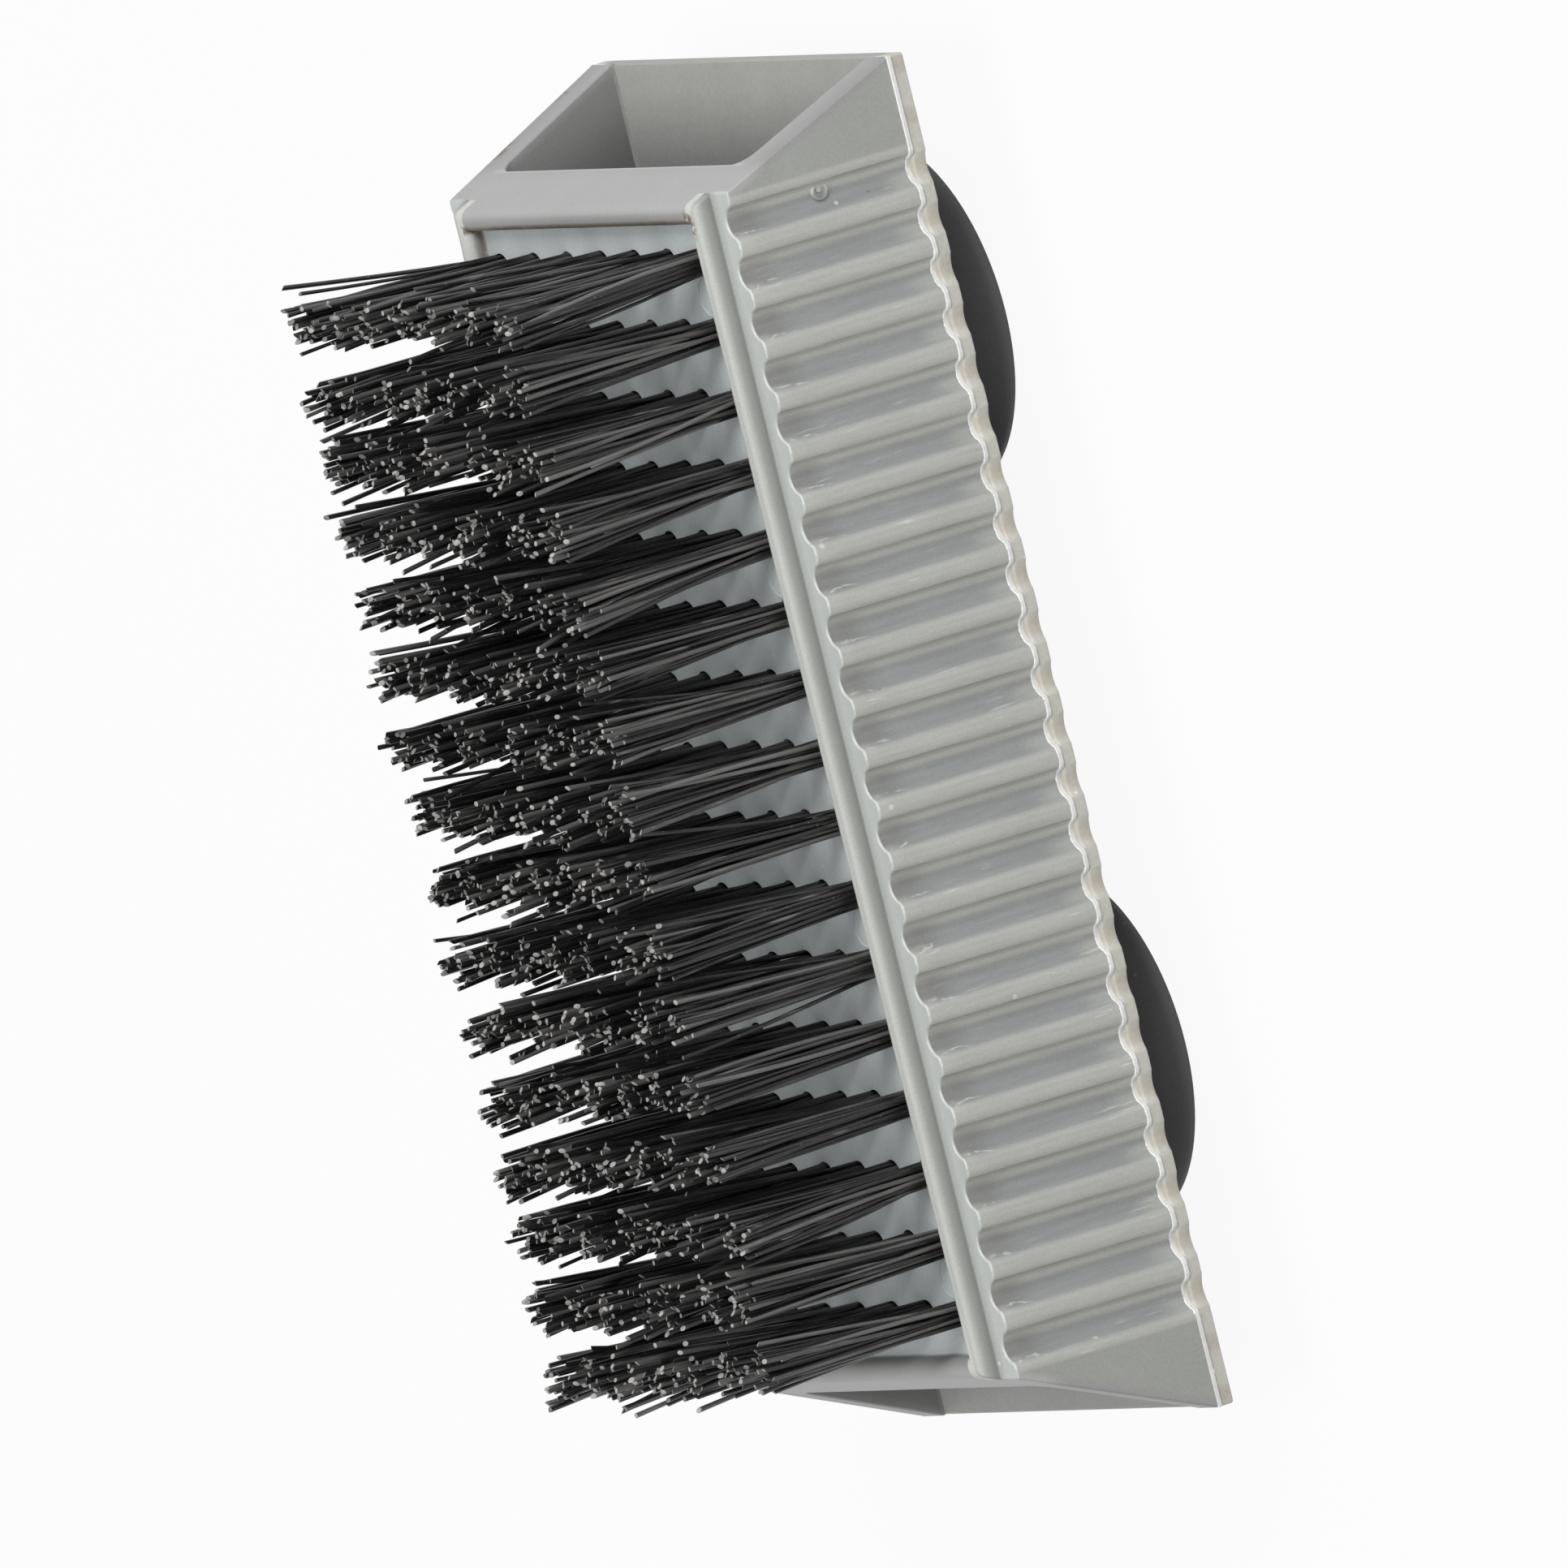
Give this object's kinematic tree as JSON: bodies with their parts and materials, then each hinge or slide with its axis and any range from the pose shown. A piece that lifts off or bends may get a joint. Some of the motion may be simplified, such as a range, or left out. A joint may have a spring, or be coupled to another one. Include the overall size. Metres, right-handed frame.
{
  "type": "club groove brush",
  "caption": "Grip block open lengthwise with fluted sides, rows of stiff nylon tufts on the front and two suction cups behind, for scrubbing grooves of club faces.",
  "frame": {"origin": "centre of the base, in the plane of the suction cup rims", "axes": "+X along the length of the block, +Z from the suction cups up through the bristles, +Y across the block"},
  "size_m": [0.1224, 0.0534, 0.0518],
  "materials": {
    "block_plastic": "fine matt moulded grey, warmer on the crests",
    "plate_plastic": "matt moulded grey",
    "glue": "rough whitish bead",
    "nylon_bristle": "satin black nylon",
    "staple_wire": "drawn wire",
    "cup_rubber": "matt moulded rubber"
  },
  "bodies": {
    "block": {"brush_block": "block_plastic", "back_plate": "plate_plastic", "glue_seam": "glue", "tuft_row_01": "nylon_bristle", "tuft_row_02": "nylon_bristle", "tuft_row_03": "nylon_bristle", "tuft_row_04": "nylon_bristle", "tuft_row_05": "nylon_bristle", "tuft_row_06": "nylon_bristle", "tuft_row_07": "nylon_bristle", "tuft_row_08": "nylon_bristle", "tuft_row_09": "nylon_bristle", "tuft_row_10": "nylon_bristle", "tuft_row_11": "nylon_bristle", "tuft_row_12": "nylon_bristle", "tuft_row_13": "nylon_bristle", "tuft_row_14": "nylon_bristle", "tuft_row_15": "nylon_bristle", "tuft_row_16": "nylon_bristle", "staple_row_01": "staple_wire", "staple_row_02": "staple_wire", "staple_row_03": "staple_wire", "staple_row_04": "staple_wire", "staple_row_05": "staple_wire", "staple_row_06": "staple_wire", "staple_row_07": "staple_wire", "staple_row_08": "staple_wire", "staple_row_09": "staple_wire", "staple_row_10": "staple_wire", "staple_row_11": "staple_wire", "staple_row_12": "staple_wire", "staple_row_13": "staple_wire", "staple_row_14": "staple_wire", "staple_row_15": "staple_wire", "staple_row_16": "staple_wire"},
    "cup_1": {"suction_cup_1": "cup_rubber"},
    "cup_2": {"suction_cup_2": "cup_rubber"}
  },
  "joints": [
    {"name": "cup_1_turn", "type": "hinge", "parent": "block", "child": "cup_1", "pos_m": [-0.031, 0, 0.0103], "axis": [0, 0, 1], "continuous": true},
    {"name": "cup_2_turn", "type": "hinge", "parent": "block", "child": "cup_2", "pos_m": [0.0352, 0, 0.0103], "axis": [0, 0, 1], "continuous": true}
  ]
}
